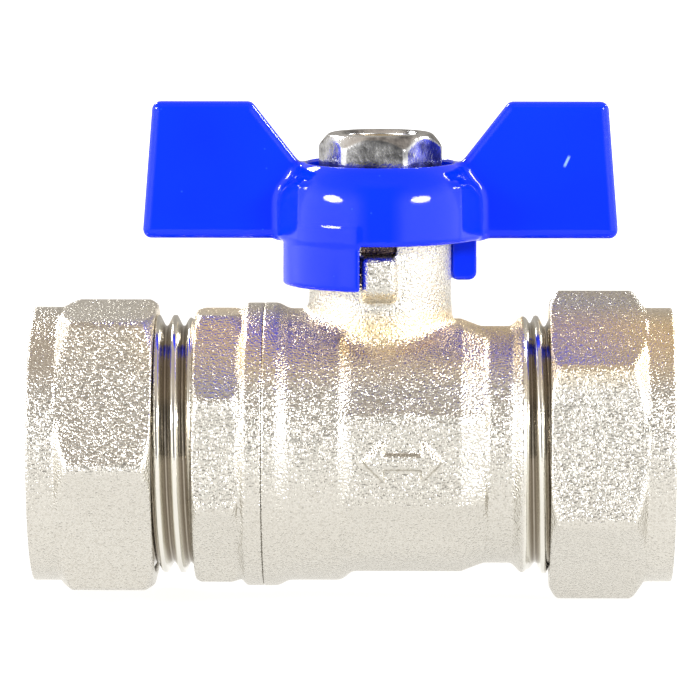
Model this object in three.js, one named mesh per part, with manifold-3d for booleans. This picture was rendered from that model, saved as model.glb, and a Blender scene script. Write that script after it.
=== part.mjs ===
// Quarter-turn ball valve with two 22 mm compression ends and a butterfly handle.
// Millimetres, +Z up. The origin is where the pipe axis (X) crosses the stem axis (Z), which is also
// the centre of the ball. The valve is shown open: handle wings and ball bore both lie along X.
import * as THREE from 'three';
import { mergeVertices } from 'three/addons/utils/BufferGeometryUtils.js';
import Module from 'manifold-3d';

// ---------------------------------------------------------------- driving dimensions
const PIPE_R = 11.1; // socket for a 22 mm pipe, with 0.1 mm of room
const PORT_R = 8.5; // passage between the sockets
const BORE_R = 8.25; // bore of the ball
const BALL_R = 12.5;

const PITCH = 2.0; // compression threads, right-handed
const THREAD_R = 14.95; // crest of the male thread
const ROOT_R = 13.7;
const NUT_MINOR_R = 14.02;
const NUT_MAJOR_R = 15.18;
const TURN = 24; // facets on one turn of thread

const SEAM_X = -13.63; // joint between the body and the end connector
const SEAM_GAP = 0.12;
const LEFT_TIP_X = -31.9; // end of the left male thread
const RIGHT_TIP_X = 26.0; // end of the right male thread
const LEFT_STOP_X = -17.5; // a pipe pushed in stops here
const RIGHT_STOP_X = 12.8;

const NUT_L = 14.2; // compression nut, end face to mouth
const NUT_LEFT_X = -40.0; // outer end faces of the two nuts
const NUT_RIGHT_X = 33.8;
const NUT_AF = 31.4;
const NUT_CORNER_R = 18.05;
const NUT_RING_R = 15.8; // round part at the pipe end of the nut
const NUT_HOLE_R = 11.25;

const BAND_AF = 30.83; // octagonal spanner band of the end connector
const COLLAR_R = 16.44;

const NECK_R = 8.2;
const NECK_TOP = 25.0;
const STEM_R = 4.75;
const STEM_BORE_R = 5.0;
const POCKET_R = 6.4; // stem head pocket below, packing chamber above
const STEM_END_R = 4.0; // M8 end of the stem
const STEM_FLAT = 3.0; // half the width across the two driving flats
const STEM_TOP = 35.9;

const HUB_R = 11.35;
const HUB_LOW = 24.1;
const HUB_TOP = 32.8;
const WEB_LOW = 27.7; // the web that the stem drives
const WEB_TOP = 30.0;
const SKIRT_LOW = 18.94;
const SKIRT_IN_R = 8.5;
const STOP_HALF = 1.97; // half the width of the stop lug on the neck
const STOP_GAP = 0.28; // between the lug and a skirt end at either limit
const WING_HALF = 1.55; // half the thickness of a wing

const NUT8_LOW = 30.3; // hexagon nut on the stem
const NUT8_TOP = 36.3;
const NUT8_AF = 12.7;

// ---------------------------------------------------------------- helpers
const wasm = await Module();
wasm.setup();

function solid(geometry) {
  const g = geometry.clone();
  for (const name of ['normal', 'uv']) if (g.attributes[name]) g.deleteAttribute(name);
  const merged = mergeVertices(g, 1e-4);
  const p = merged.attributes.position.array;
  const raw = Array.from(merged.index.array);
  const tri = [];
  let volume = 0;
  for (let i = 0; i < raw.length; i += 3) {
    const [a, b, c] = [raw[i], raw[i + 1], raw[i + 2]];
    if (a === b || b === c || a === c) continue;
    tri.push(a, b, c);
    const v = (k) => new THREE.Vector3(p[3 * k], p[3 * k + 1], p[3 * k + 2]);
    volume += v(a).dot(v(b).cross(v(c)));
  }
  if (volume < 0) for (let i = 0; i < tri.length; i += 3) [tri[i + 1], tri[i + 2]] = [tri[i + 2], tri[i + 1]];
  const mesh = new wasm.Mesh({
    numProp: 3,
    vertProperties: new Float32Array(p),
    triVerts: new Uint32Array(tri),
  });
  return new wasm.Manifold(mesh);
}

// A solid of revolution about X from [x, radius] points, or about Z from [radius, z] points.
function aboutX(points, facets = 48, turned = 0) {
  const g = new THREE.LatheGeometry(points.map(([x, r]) => new THREE.Vector2(r, x)), facets);
  g.rotateY(turned);
  g.rotateZ(-Math.PI / 2);
  return solid(g);
}
function aboutZ(points, facets = 40) {
  const g = new THREE.LatheGeometry(points.map(([r, z]) => new THREE.Vector2(r, z)), facets);
  g.rotateX(Math.PI / 2);
  return solid(g);
}
const closed = (points) => [...points, points[0]];

// A prism along X whose section is given as [y, z] points.
function alongX(points, x0, x1) {
  const shape = new THREE.Shape(points.map(([y, z]) => new THREE.Vector2(y, z)));
  const g = new THREE.ExtrudeGeometry(shape, { depth: x1 - x0, bevelEnabled: false });
  g.applyMatrix4(new THREE.Matrix4().set(0, 0, 1, x0, 1, 0, 0, 0, 0, 1, 0, 0, 0, 0, 0, 1));
  return solid(g);
}
function alongZ(points, z0, z1) {
  const shape = new THREE.Shape(points.map(([x, y]) => new THREE.Vector2(x, y)));
  const g = new THREE.ExtrudeGeometry(shape, { depth: z1 - z0, bevelEnabled: false });
  g.translate(0, 0, z0);
  return solid(g);
}
// A plate in the XZ plane with softened edges, from [x, z] points, between y = -half and y = +half.
function plateXZ(points, half, soft) {
  const shape = new THREE.Shape(points.map(([x, z]) => new THREE.Vector2(x, z)));
  const g = new THREE.ExtrudeGeometry(shape, {
    depth: 2 * (half - soft), bevelEnabled: true, bevelThickness: soft, bevelSize: soft,
    bevelOffset: -soft, bevelSegments: 1,
  });
  g.translate(0, 0, -(half - soft));
  g.rotateX(Math.PI / 2);
  return solid(g);
}
function box(x0, x1, y0, y1, z0, z1) {
  const g = new THREE.BoxGeometry(x1 - x0, y1 - y0, z1 - z0);
  g.translate((x0 + x1) / 2, (y0 + y1) / 2, (z0 + z1) / 2);
  return solid(g);
}
// Corners of a regular polygon of n sides, the first corner at angle a0.
function corners(n, acrossFlats, a0) {
  const r = acrossFlats / 2 / Math.cos(Math.PI / n);
  return Array.from({ length: n }, (_, i) => {
    const a = a0 + (2 * Math.PI * i) / n;
    return [r * Math.cos(a), r * Math.sin(a)];
  });
}

// A helical ridge about X. The section is [axial, radius] points. The ridge's middle passes the top of the
// axis (+Z) at x = xTop, and turns right-handed. heightAt gives the share of its height at each angle.
function ridge(section, xTop, from, to, rootR, heightAt) {
  const step = (2 * Math.PI) / TURN;
  const steps = Math.round((to - from) / step);
  from = Math.round(from / step) * step; // so that its facets line up with those of the cylinder it stands on
  to = from + steps * step;
  const shape = new THREE.Shape(section.map(([a, r]) => new THREE.Vector2(a, r)));
  const g = new THREE.ExtrudeGeometry(shape, { depth: to - from, steps, bevelEnabled: false });
  const p = g.attributes.position;
  for (let i = 0; i < p.count; i += 1) {
    const t = from + p.getZ(i);
    let r = p.getY(i);
    if (r > rootR) r = rootR + (r - rootR) * heightAt(t);
    p.setXYZ(i, xTop + p.getX(i) + (PITCH * t) / (2 * Math.PI), -r * Math.sin(t), r * Math.cos(t));
  }
  return solid(g);
}
const maleSection = [[-0.93, ROOT_R - 0.7], [0.93, ROOT_R - 0.7], [0.93, ROOT_R], [0.22, THREAD_R], [-0.22, THREAD_R], [-0.93, ROOT_R]];
const femaleSection = [[-0.9, NUT_MINOR_R - 0.4], [0.9, NUT_MINOR_R - 0.4], [0.9, NUT_MINOR_R], [0.29, NUT_MAJOR_R], [-0.29, NUT_MAJOR_R], [-0.9, NUT_MINOR_R]];
const angleAt = (x, xTop) => ((x - xTop) / PITCH) * 2 * Math.PI;

const group = new THREE.Group();
function piece(name, body, colour, roughness, metalness) {
  const m = body.asOriginal().simplify(0.004).getMesh(); // drops slivers along the cuts
  const g = new THREE.BufferGeometry();
  g.setAttribute('position', new THREE.BufferAttribute(new Float32Array(m.vertProperties), 3));
  g.setIndex(new THREE.BufferAttribute(new Uint32Array(m.triVerts), 1));
  g.computeVertexNormals();
  const mesh = new THREE.Mesh(g, new THREE.MeshStandardMaterial({ color: colour, roughness, metalness }));
  mesh.name = name;
  group.add(mesh);
}
const NICKEL = [0xd8d4c8, 0.42, 1.0];
const BRASS = [0xc9a24f, 0.35, 1.0];

// ---------------------------------------------------------------- valve body
const RIGHT_TOP_X = 18.04; // where a crest of the right thread passes the top
const LEFT_TOP_X = -23.75;

let body = aboutX([
  [SEAM_X, 0], [SEAM_X, 16.2], [-13.4, COLLAR_R], [-11.7, COLLAR_R], [-10.4, 15.78], [-4.5, 15.78], [-3.2, 14.8],
  [9.7, 14.6], [11.6, 13.98], [15.4, 13.98], [16.3, 14.85], [16.75, 14.85], [17.5, 13.75], [17.5, 0],
], 40).add(aboutX([[15, 0], [15, 12.5], [16.9, ROOT_R], [25.9, ROOT_R], [RIGHT_TIP_X, 13.6], [RIGHT_TIP_X, 0]], TURN));
const rightRun = (t) => Math.min(1, Math.max(0.02, (RIGHT_TOP_X + (PITCH * t) / (2 * Math.PI) - 16.6) / 1.4));
body = body.add(
  ridge(maleSection, RIGHT_TOP_X, angleAt(16.7, RIGHT_TOP_X), angleAt(26.9, RIGHT_TOP_X), ROOT_R, rightRun).intersect(
    aboutX([[15, 0], [15, 15.4], [24.7, 15.4], [RIGHT_TIP_X, 13.75], [RIGHT_TIP_X, 0]], TURN),
  ),
);
// faceted middle, with a flat pad facing front and back
const section = [[-14.85, -4.96], [-14.85, 4.96], [-9.7, 12.2], [-4.9, 14.9], [4.9, 14.9], [9.7, 12.2], [14.85, 4.96], [14.85, -4.96], [9.7, -12.2], [4.9, -14.9], [-4.9, -14.9], [-9.7, -12.2]];
body = body.add(
  alongX(section, -5.2, 12.4).intersect(
    aboutX([[-5.2, 0], [-5.2, 14.2], [-3.2, 16.4], [9.6, 16.4], [11.8, 13.9], [11.8, 0]], 40),
  ),
);
body = body.add(box(-3.7, 9.3, -15.1, -13, -4.96, 4.96).add(box(-3.7, 9.3, 13, 15.1, -4.96, 4.96)));
// raised flow mark on the front pad: one arrow with a head at each end
{
  const arrow = [[-1.6, 0], [0.5, 1.9], [0.5, 0.65], [5.1, 0.65], [5.1, 1.9], [7.2, 0], [5.1, -1.9], [5.1, -0.65], [0.5, -0.65], [0.5, -1.9]];
  const shape = new THREE.Shape(arrow.map(([x, z]) => new THREE.Vector2(x, z)));
  const g = new THREE.ExtrudeGeometry(shape, { depth: 1.35, bevelEnabled: false });
  g.rotateX(Math.PI / 2);
  g.translate(0, -14.05, 0);
  body = body.add(solid(g));
}
// neck for the stem, flared into the body, with the stop lug on its front
body = body.add(
  aboutZ([[0, 9], [11.0, 9], [11.0, 13.6], [9.8, 14.9], [8.9, 16.2], [8.4, 17.4], [NECK_R, 18.6], [NECK_R, NECK_TOP - 0.4], [NECK_R - 0.4, NECK_TOP], [0, NECK_TOP]], 32),
);
body = body.add(
  alongX([[-7.3, 17.5], [-8.2, 17.7], [-10.3, 18.9], [-10.44, 19.2], [-10.44, 22.5], [-10.14, 22.8], [-7.3, 22.8]], -STOP_HALF, STOP_HALF),
);
// passage, from the joint with the connector to the right-hand pipe socket
body = body.subtract(
  aboutX([
    [-15, 0], [-15, 14.6], [-13.5, 14.6], [-13.0, 14.1], [-7.4, 14.1], [-7.4, 12.95], [5.4, 12.95], [5.4, 12.0], [10.55, 12.0], [10.55, PORT_R],
    [RIGHT_STOP_X, PORT_R], [RIGHT_STOP_X, PIPE_R], [24.2, PIPE_R], [RIGHT_TIP_X, 12.9], [27, 13.9], [27, 0],
  ], 32),
);
body = body.subtract(
  aboutZ([[0, 0], [POCKET_R, 0], [POCKET_R, 15.5], [STEM_BORE_R, 15.5], [STEM_BORE_R, 20.4], [POCKET_R, 20.4], [POCKET_R, 24.7], [POCKET_R + 0.4, 25.1], [POCKET_R + 0.4, 26], [0, 26]], 28),
);
piece('valve_body', body, ...NICKEL);

// ---------------------------------------------------------------- end connector (left)
const CON_END = SEAM_X - SEAM_GAP;
let con = aboutX([
  [-22.0, 0], [-22.0, 13.75], [-21.2, 14.2], [-21.2, 15.3], [-16.3, 15.5], [-15.3, COLLAR_R], [CON_END - 0.15, COLLAR_R],
  [CON_END, 16.3], [CON_END, 13.8], [-8.6, 13.8], [-8.3, 13.5], [-8.3, 0],
], 40).add(aboutX([[LEFT_TIP_X, 0], [LEFT_TIP_X, 13.6], [LEFT_TIP_X + 0.1, ROOT_R], [-21.6, ROOT_R], [-20, 12], [-20, 0]], TURN));
const leftRun = (t) => Math.min(1, Math.max(0.02, (-20.6 - (LEFT_TOP_X + (PITCH * t) / (2 * Math.PI))) / 1.6));
con = con.add(
  ridge(maleSection, LEFT_TOP_X, angleAt(-32.9, LEFT_TOP_X), angleAt(-21.3, LEFT_TOP_X), ROOT_R, leftRun).intersect(
    aboutX([[LEFT_TIP_X, 0], [LEFT_TIP_X, 13.75], [LEFT_TIP_X + 1.3, 15.4], [-20.5, 15.4], [-20.5, 0]], TURN),
  ),
);
con = con.add(
  alongX(corners(8, BAND_AF, THREE.MathUtils.degToRad(20.2)), -21.3, -15.4).intersect(
    aboutX([[-21.3, 0], [-21.3, 15.75], [-20.4, 16.7], [-16.6, 16.7], [-15.4, 15.9], [-15.4, 0]], 40),
  ),
);
con = con.subtract(
  aboutX([
    [-33, 0], [-33, 13.9], [LEFT_TIP_X, 12.9], [LEFT_TIP_X + 1.8, PIPE_R], [LEFT_STOP_X, PIPE_R], [LEFT_STOP_X, PORT_R],
    [-10.55, PORT_R], [-10.55, 12.0], [-7, 12.0], [-7, 0],
  ], 32),
);
piece('end_connector', con, ...NICKEL);

// ---------------------------------------------------------------- joint seal, ball and seats
piece('body_joint_seal', aboutX(closed([[-8.1, 12.98], [-8.1, 13.9], [-7.6, 13.9], [-7.6, 12.98]]), 28), 0x2a2a2c, 0.6, 0);

const ball = solid(new THREE.SphereGeometry(BALL_R, 28, 18))
  .subtract(aboutX([[-14, 0], [-14, BORE_R + 1.5], [-9.6, BORE_R], [9.6, BORE_R], [14, BORE_R + 1.5], [14, 0]], 28))
  .subtract(box(-3.0, 3.0, -9, 9, 9.3, 14));
piece('ball', ball, 0xe4e4e2, 0.12, 1.0);

// the seat's working face follows the ball
const SEAT_FACE_R = BALL_R + 0.25;
const seatArc = [8.7, 9.9, 11.1].map((r) => [Math.sqrt(SEAT_FACE_R ** 2 - r * r), r]);
const seat = (side) => aboutX(closed([...seatArc, [seatArc[2][0], 11.8], [10.3, 11.8], [10.3, 8.7]].map(([x, r]) => [side * x, r])), 28);
piece('seat_left', seat(-1), 0xf4f2ec, 0.5, 0);
piece('seat_right', seat(1), 0xf4f2ec, 0.5, 0);

// ---------------------------------------------------------------- stem and its seals
let stem = aboutZ([
  [0, 12.8], [6.0, 12.8], [6.0, 14.3], [STEM_R, 14.3], [STEM_R, 16.1], [3.75, 16.1], [3.75, 17.4], [STEM_R, 17.4], [STEM_R, 18.2], [3.75, 18.2], [3.75, 19.5],
  [STEM_R, 19.5], [STEM_R, 27.1], [4.45, 27.4], [STEM_END_R, 27.4], [STEM_END_R, 35.4], [3.5, STEM_TOP], [0, STEM_TOP],
], 24);
stem = stem.add(box(-2.7, 2.7, -5.2, 5.2, 9.6, 13.2));
stem = stem.subtract(box(-6, 6, STEM_FLAT, 7, 27.4, 37)).subtract(box(-6, 6, -7, -STEM_FLAT, 27.4, 37));
piece('stem', stem, 0xcbb173, 0.35, 1.0);
piece('stem_thrust_washer', aboutZ(closed([[4.95, 14.5], [6.15, 14.5], [6.15, 15.25], [4.95, 15.25]]), 24), 0xf4f2ec, 0.5, 0);
const oRing = (z) => {
  const g = new THREE.TorusGeometry(4.32, 0.48, 6, 24);
  g.translate(0, 0, z);
  return solid(g);
};
piece('stem_o_ring_lower', oRing(16.75), 0x1b1b1c, 0.6, 0);
piece('stem_o_ring_upper', oRing(18.85), 0x1b1b1c, 0.6, 0);
piece('stem_packing', aboutZ(closed([[4.97, 20.6], [6.2, 20.6], [6.2, 22.7], [5.6, 23.1], [4.97, 22.7]]), 24), 0xf4f2ec, 0.5, 0);
piece('gland_nut', aboutZ([[0, 23.3], [6.15, 23.3], [6.15, 25.25], [8, 25.25], [8, 27.1], [0, 27.1]], 40)
  .intersect(alongZ(corners(6, 12.6, 0.2), 25.2, 27.2).intersect(aboutZ([[0, 25.2], [7.3, 25.2], [7.3, 26.6], [6.6, 27.2], [0, 27.2]], 40))
    .add(aboutZ([[0, 23.2], [6.3, 23.2], [6.3, 25.4], [0, 25.4]], 40)))
  .subtract(aboutZ([[0, 22], [STEM_BORE_R, 22], [STEM_BORE_R, 28], [0, 28]], 32)), 0xc9a24f, 0.35, 1.0);

// ---------------------------------------------------------------- handle
let handle = aboutZ([
  [0, WEB_LOW], [8.75, WEB_LOW], [8.75, HUB_LOW], [10.95, HUB_LOW], [HUB_R, 24.5], [HUB_R, 28.7], [11.22, 29.9], [10.8, 31.0], [10.15, 31.9], [9.4, 32.5],
  [8.85, HUB_TOP], [8.55, 32.75], [8.35, 32.4], [8.35, WEB_TOP], [0, WEB_TOP],
], 40);
// two skirt segments under the hub, a half turn apart: their end faces meet the stop lug
const skirtRing = aboutZ(closed([[SKIRT_IN_R, SKIRT_LOW + 0.3], [SKIRT_IN_R + 0.3, SKIRT_LOW], [HUB_R - 0.32, SKIRT_LOW], [HUB_R - 0.02, SKIRT_LOW + 0.3], [HUB_R - 0.02, 25.5], [9.1, 25.5], [8.9, 24.4], [SKIRT_IN_R, 24.2]]), 40);
const edge = STOP_HALF + STOP_GAP;
handle = handle.add(skirtRing.intersect(box(-12, -edge, -12, -edge, 18, 26)));
handle = handle.add(skirtRing.intersect(box(edge, 12, edge, 12, 18, 26)));
for (const s of [-1, 1]) {
  const low = 24.05;
  const wing = [[9.3, low], [27.0, low], [27.45, low + 0.25], [27.55, low + 0.8], [26.45, 38.7], [26.1, 39.55], [25.3, 39.9], [15.6, 39.9], [14.7, 39.5], [9.9, 33.3], [9.3, 32.2]];
  const points = wing.map(([x, z]) => [s * x, z]);
  handle = handle.add(plateXZ(s > 0 ? points : points.reverse(), WING_HALF, 0.5));
  // thickening where the wing leaves the hub
  handle = handle.add(box(Math.min(s * 9.2, s * 11.9), Math.max(s * 9.2, s * 11.9), -WING_HALF - 0.45, WING_HALF + 0.45, low + 0.05, 30.2));
}
handle = handle.subtract(
  aboutZ([[0, 26], [4.2, 26], [4.2, 32], [0, 32]], 32).subtract(box(-6, 6, STEM_FLAT + 0.2, 7, 25, 33)).subtract(box(-6, 6, -7, -STEM_FLAT - 0.2, 25, 33)),
);
piece('handle', handle, 0x1038ff, 0.28, 0.0);

const nut8 = alongZ(corners(6, NUT8_AF, 0), NUT8_LOW, NUT8_TOP)
  .intersect(aboutZ([[0, NUT8_LOW], [6.3, NUT8_LOW], [7.18, NUT8_LOW + 0.5], [7.18, NUT8_TOP - 0.75], [6.05, NUT8_TOP], [0, NUT8_TOP]], 40))
  .subtract(aboutZ([[0, 29], [4.6, 29], [4.6, NUT8_LOW], [4.15, NUT8_LOW + 0.5], [4.15, NUT8_TOP - 0.45], [4.6, NUT8_TOP], [4.6, 38], [0, 38]], 32));
piece('handle_nut', nut8, 0xd9dbdc, 0.25, 1.0);

// ---------------------------------------------------------------- compression nuts and olives
// side is -1 for the left end and +1 for the right; u runs from the nut's outer end face towards the body.
function compressionNut(side, xFace, xTop, cornerAngle) {
  const at = (u) => xFace - side * u;
  const turned = (points, facets) => aboutX(points.map(([u, r]) => [at(u), r]), facets);
  const x0 = Math.min(at(0), at(NUT_L));
  const hex = alongX(corners(6, NUT_AF, cornerAngle), x0, x0 + NUT_L)
    .intersect(turned([[0, 0], [0, 15.8], [2.9, 15.8], [5.15, NUT_CORNER_R], [13.0, NUT_CORNER_R], [NUT_L, 16.0], [NUT_L, 0]], 40));
  let nut = hex.add(turned([[0, 0], [0, NUT_RING_R - 0.3], [0.3, NUT_RING_R], [2.9, NUT_RING_R], [3.4, 15.3], [3.4, 0]], 40));
  nut = nut.subtract(turned([
    [-1, 0], [-1, NUT_HOLE_R + 0.4], [0, NUT_HOLE_R + 0.4], [0.4, NUT_HOLE_R], [1.6, NUT_HOLE_R], [4.4, 13.4], [4.9, NUT_MINOR_R], [13.2, NUT_MINOR_R], [NUT_L, 15.0], [NUT_L + 1, 15.0], [NUT_L + 1, 0],
  ], TURN));
  const [a, b] = [at(NUT_L + 0.9), at(5.6)].sort((p, q) => p - q);
  nut = nut.subtract(ridge(femaleSection, xTop, angleAt(a, xTop), angleAt(b, xTop), NUT_MINOR_R, () => 1));
  return nut;
}
piece('compression_nut_left', compressionNut(-1, NUT_LEFT_X, LEFT_TOP_X, THREE.MathUtils.degToRad(2.2)), ...NICKEL);
piece('compression_nut_right', compressionNut(1, NUT_RIGHT_X, RIGHT_TOP_X, THREE.MathUtils.degToRad(22.9)), ...NICKEL);

function olive(side, xFace) {
  const at = (u) => xFace - side * u;
  return aboutX(closed([[2.3, 11.12], [2.3, 11.35], [4.5, 12.75], [6.6, 12.75], [8.8, 11.35], [8.8, 11.12]].map(([u, r]) => [at(u), r])), 30);
}
piece('olive_left', olive(-1, NUT_LEFT_X), ...BRASS);
piece('olive_right', olive(1, NUT_RIGHT_X), ...BRASS);

export default group;
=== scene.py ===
import bpy
import math
import numpy as np
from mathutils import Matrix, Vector


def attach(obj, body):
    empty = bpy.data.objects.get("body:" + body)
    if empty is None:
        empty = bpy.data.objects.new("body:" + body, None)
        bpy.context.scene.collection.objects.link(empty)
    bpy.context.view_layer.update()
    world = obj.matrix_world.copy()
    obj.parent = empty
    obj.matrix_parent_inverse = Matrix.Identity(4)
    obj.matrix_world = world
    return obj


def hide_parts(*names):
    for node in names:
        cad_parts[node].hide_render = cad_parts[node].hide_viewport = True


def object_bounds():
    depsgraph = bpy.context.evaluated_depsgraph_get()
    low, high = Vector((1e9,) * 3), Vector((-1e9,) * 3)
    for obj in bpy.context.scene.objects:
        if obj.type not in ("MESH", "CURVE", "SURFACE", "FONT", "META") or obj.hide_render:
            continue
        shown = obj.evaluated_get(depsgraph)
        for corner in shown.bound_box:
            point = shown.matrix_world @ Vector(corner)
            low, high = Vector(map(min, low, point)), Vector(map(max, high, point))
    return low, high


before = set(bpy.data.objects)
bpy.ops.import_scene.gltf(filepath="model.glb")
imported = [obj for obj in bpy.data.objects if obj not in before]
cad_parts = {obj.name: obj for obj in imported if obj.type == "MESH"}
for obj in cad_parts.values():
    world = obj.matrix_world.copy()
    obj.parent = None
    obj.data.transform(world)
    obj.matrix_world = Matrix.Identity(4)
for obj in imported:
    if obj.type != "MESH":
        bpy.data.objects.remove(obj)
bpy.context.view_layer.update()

# Everything below works in millimetres and is scaled to metres when a mesh is made.
# Each visible piece is one smooth closed surface: a signed distance function is sampled on a grid that
# turns about the piece's own axis, and the surface is drawn through it and pulled exactly onto it.

MM = 0.001


# ------------------------------------------------------------------ distance function tools
class P:
    """Sample points. For axis 'x' the angle runs from +Z towards -Y, for axis 'z' from +X towards +Y."""

    def __init__(self, x, y, z, rho, th):
        self.x, self.y, self.z, self.rho, self.th = x, y, z, rho, th

    def rz(self):
        return np.sqrt(self.x * self.x + self.y * self.y)

    def far(self, x0, x1, y0, y1, z0, z1, m=2.5):
        return (self.x.min() > x1 + m or self.x.max() < x0 - m or self.y.min() > y1 + m or self.y.max() < y0 - m
                or self.z.min() > z1 + m or self.z.max() < z0 - m)


def smin(a, b, k):
    h = np.clip(0.5 + 0.5 * (b - a) / k, 0, 1)
    return b * (1 - h) + a * h - k * h * (1 - h)


def smax(a, b, k):
    h = np.clip(0.5 + 0.5 * (a - b) / k, 0, 1)
    return b * (1 - h) + a * h + k * h * (1 - h)


def poly(px, py, pts, r=0.0):
    """Signed distance to a closed polygon (negative inside), grown by r."""
    px, py = np.broadcast_arrays(np.asarray(px, float), np.asarray(py, float))
    d = np.full(px.shape, 1e9)
    inside = np.zeros(px.shape, bool)
    n = len(pts)
    for i in range(n):
        ax, ay = pts[i]
        bx, by = pts[(i + 1) % n]
        ex, ey = bx - ax, by - ay
        wx, wy = px - ax, py - ay
        t = np.clip((wx * ex + wy * ey) / (ex * ex + ey * ey), 0, 1)
        dx, dy = wx - ex * t, wy - ey * t
        d = np.minimum(d, dx * dx + dy * dy)
        if ey != 0:
            cross = ((ay > py) != (by > py)) & (px < ex * (py - ay) / ey + ax)
            inside ^= cross
    d = np.sqrt(d)
    return np.where(inside, -d, d) - r


class Prof:
    """A radius that changes along an axis, rounded by a moving average."""

    def __init__(self, pts, soft=0.3):
        x = np.arange(pts[0][0] - 3, pts[-1][0] + 3, 0.02)
        y = np.interp(x, [p[0] for p in pts], [p[1] for p in pts])
        w = np.arange(-3, 3.001, 0.02 / soft)
        k = np.exp(-w * w / 2)
        k /= k.sum()
        pad = len(k)
        y = np.convolve(np.pad(y, pad, mode="edge"), k, "same")[pad:-pad]
        self.x, self.y = x, y
        self.s = np.gradient(y, x)

    def __call__(self, v):
        return np.interp(v, self.x, self.y)

    def dist(self, v, rho):
        s = np.interp(v, self.x, self.s)
        return (rho - np.interp(v, self.x, self.y)) / np.sqrt(1 + s * s)


def planes(y, z, n, apothem, a0, k):
    """Regular prism with n sides, its first corner at angle a0 from +Y towards +Z, edges rounded by k."""
    d = None
    for i in range(n):
        a = a0 + (i + 0.5) * 2 * math.pi / n
        e = y * math.cos(a) + z * math.sin(a) - apothem
        d = e if d is None else smax(d, e, k)
    return d


def box3(x, y, z, c, h, r):
    qx, qy, qz = abs(x - c[0]) - h[0] + r, abs(y - c[1]) - h[1] + r, abs(z - c[2]) - h[2] + r
    out = np.sqrt(np.maximum(qx, 0) ** 2 + np.maximum(qy, 0) ** 2 + np.maximum(qz, 0) ** 2)
    return out + np.minimum(np.maximum(np.maximum(qx, qy), qz), 0) - r


# ------------------------------------------------------------------ surface through a distance function
def points(kind, a, r, t):
    if kind == "x":
        return P(a, -r * np.sin(t), r * np.cos(t), r, t)
    if kind == "z":
        return P(r * np.cos(t), r * np.sin(t), a, r, t)
    return P(a, r, t, None, None)


def free_points(kind, x, y, z):
    if kind == "x":
        return P(x, y, z, np.hypot(y, z), np.arctan2(-y, z))
    if kind == "z":
        return P(x, y, z, np.hypot(x, y), np.arctan2(y, x))
    return P(x, y, z, None, None)


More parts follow.
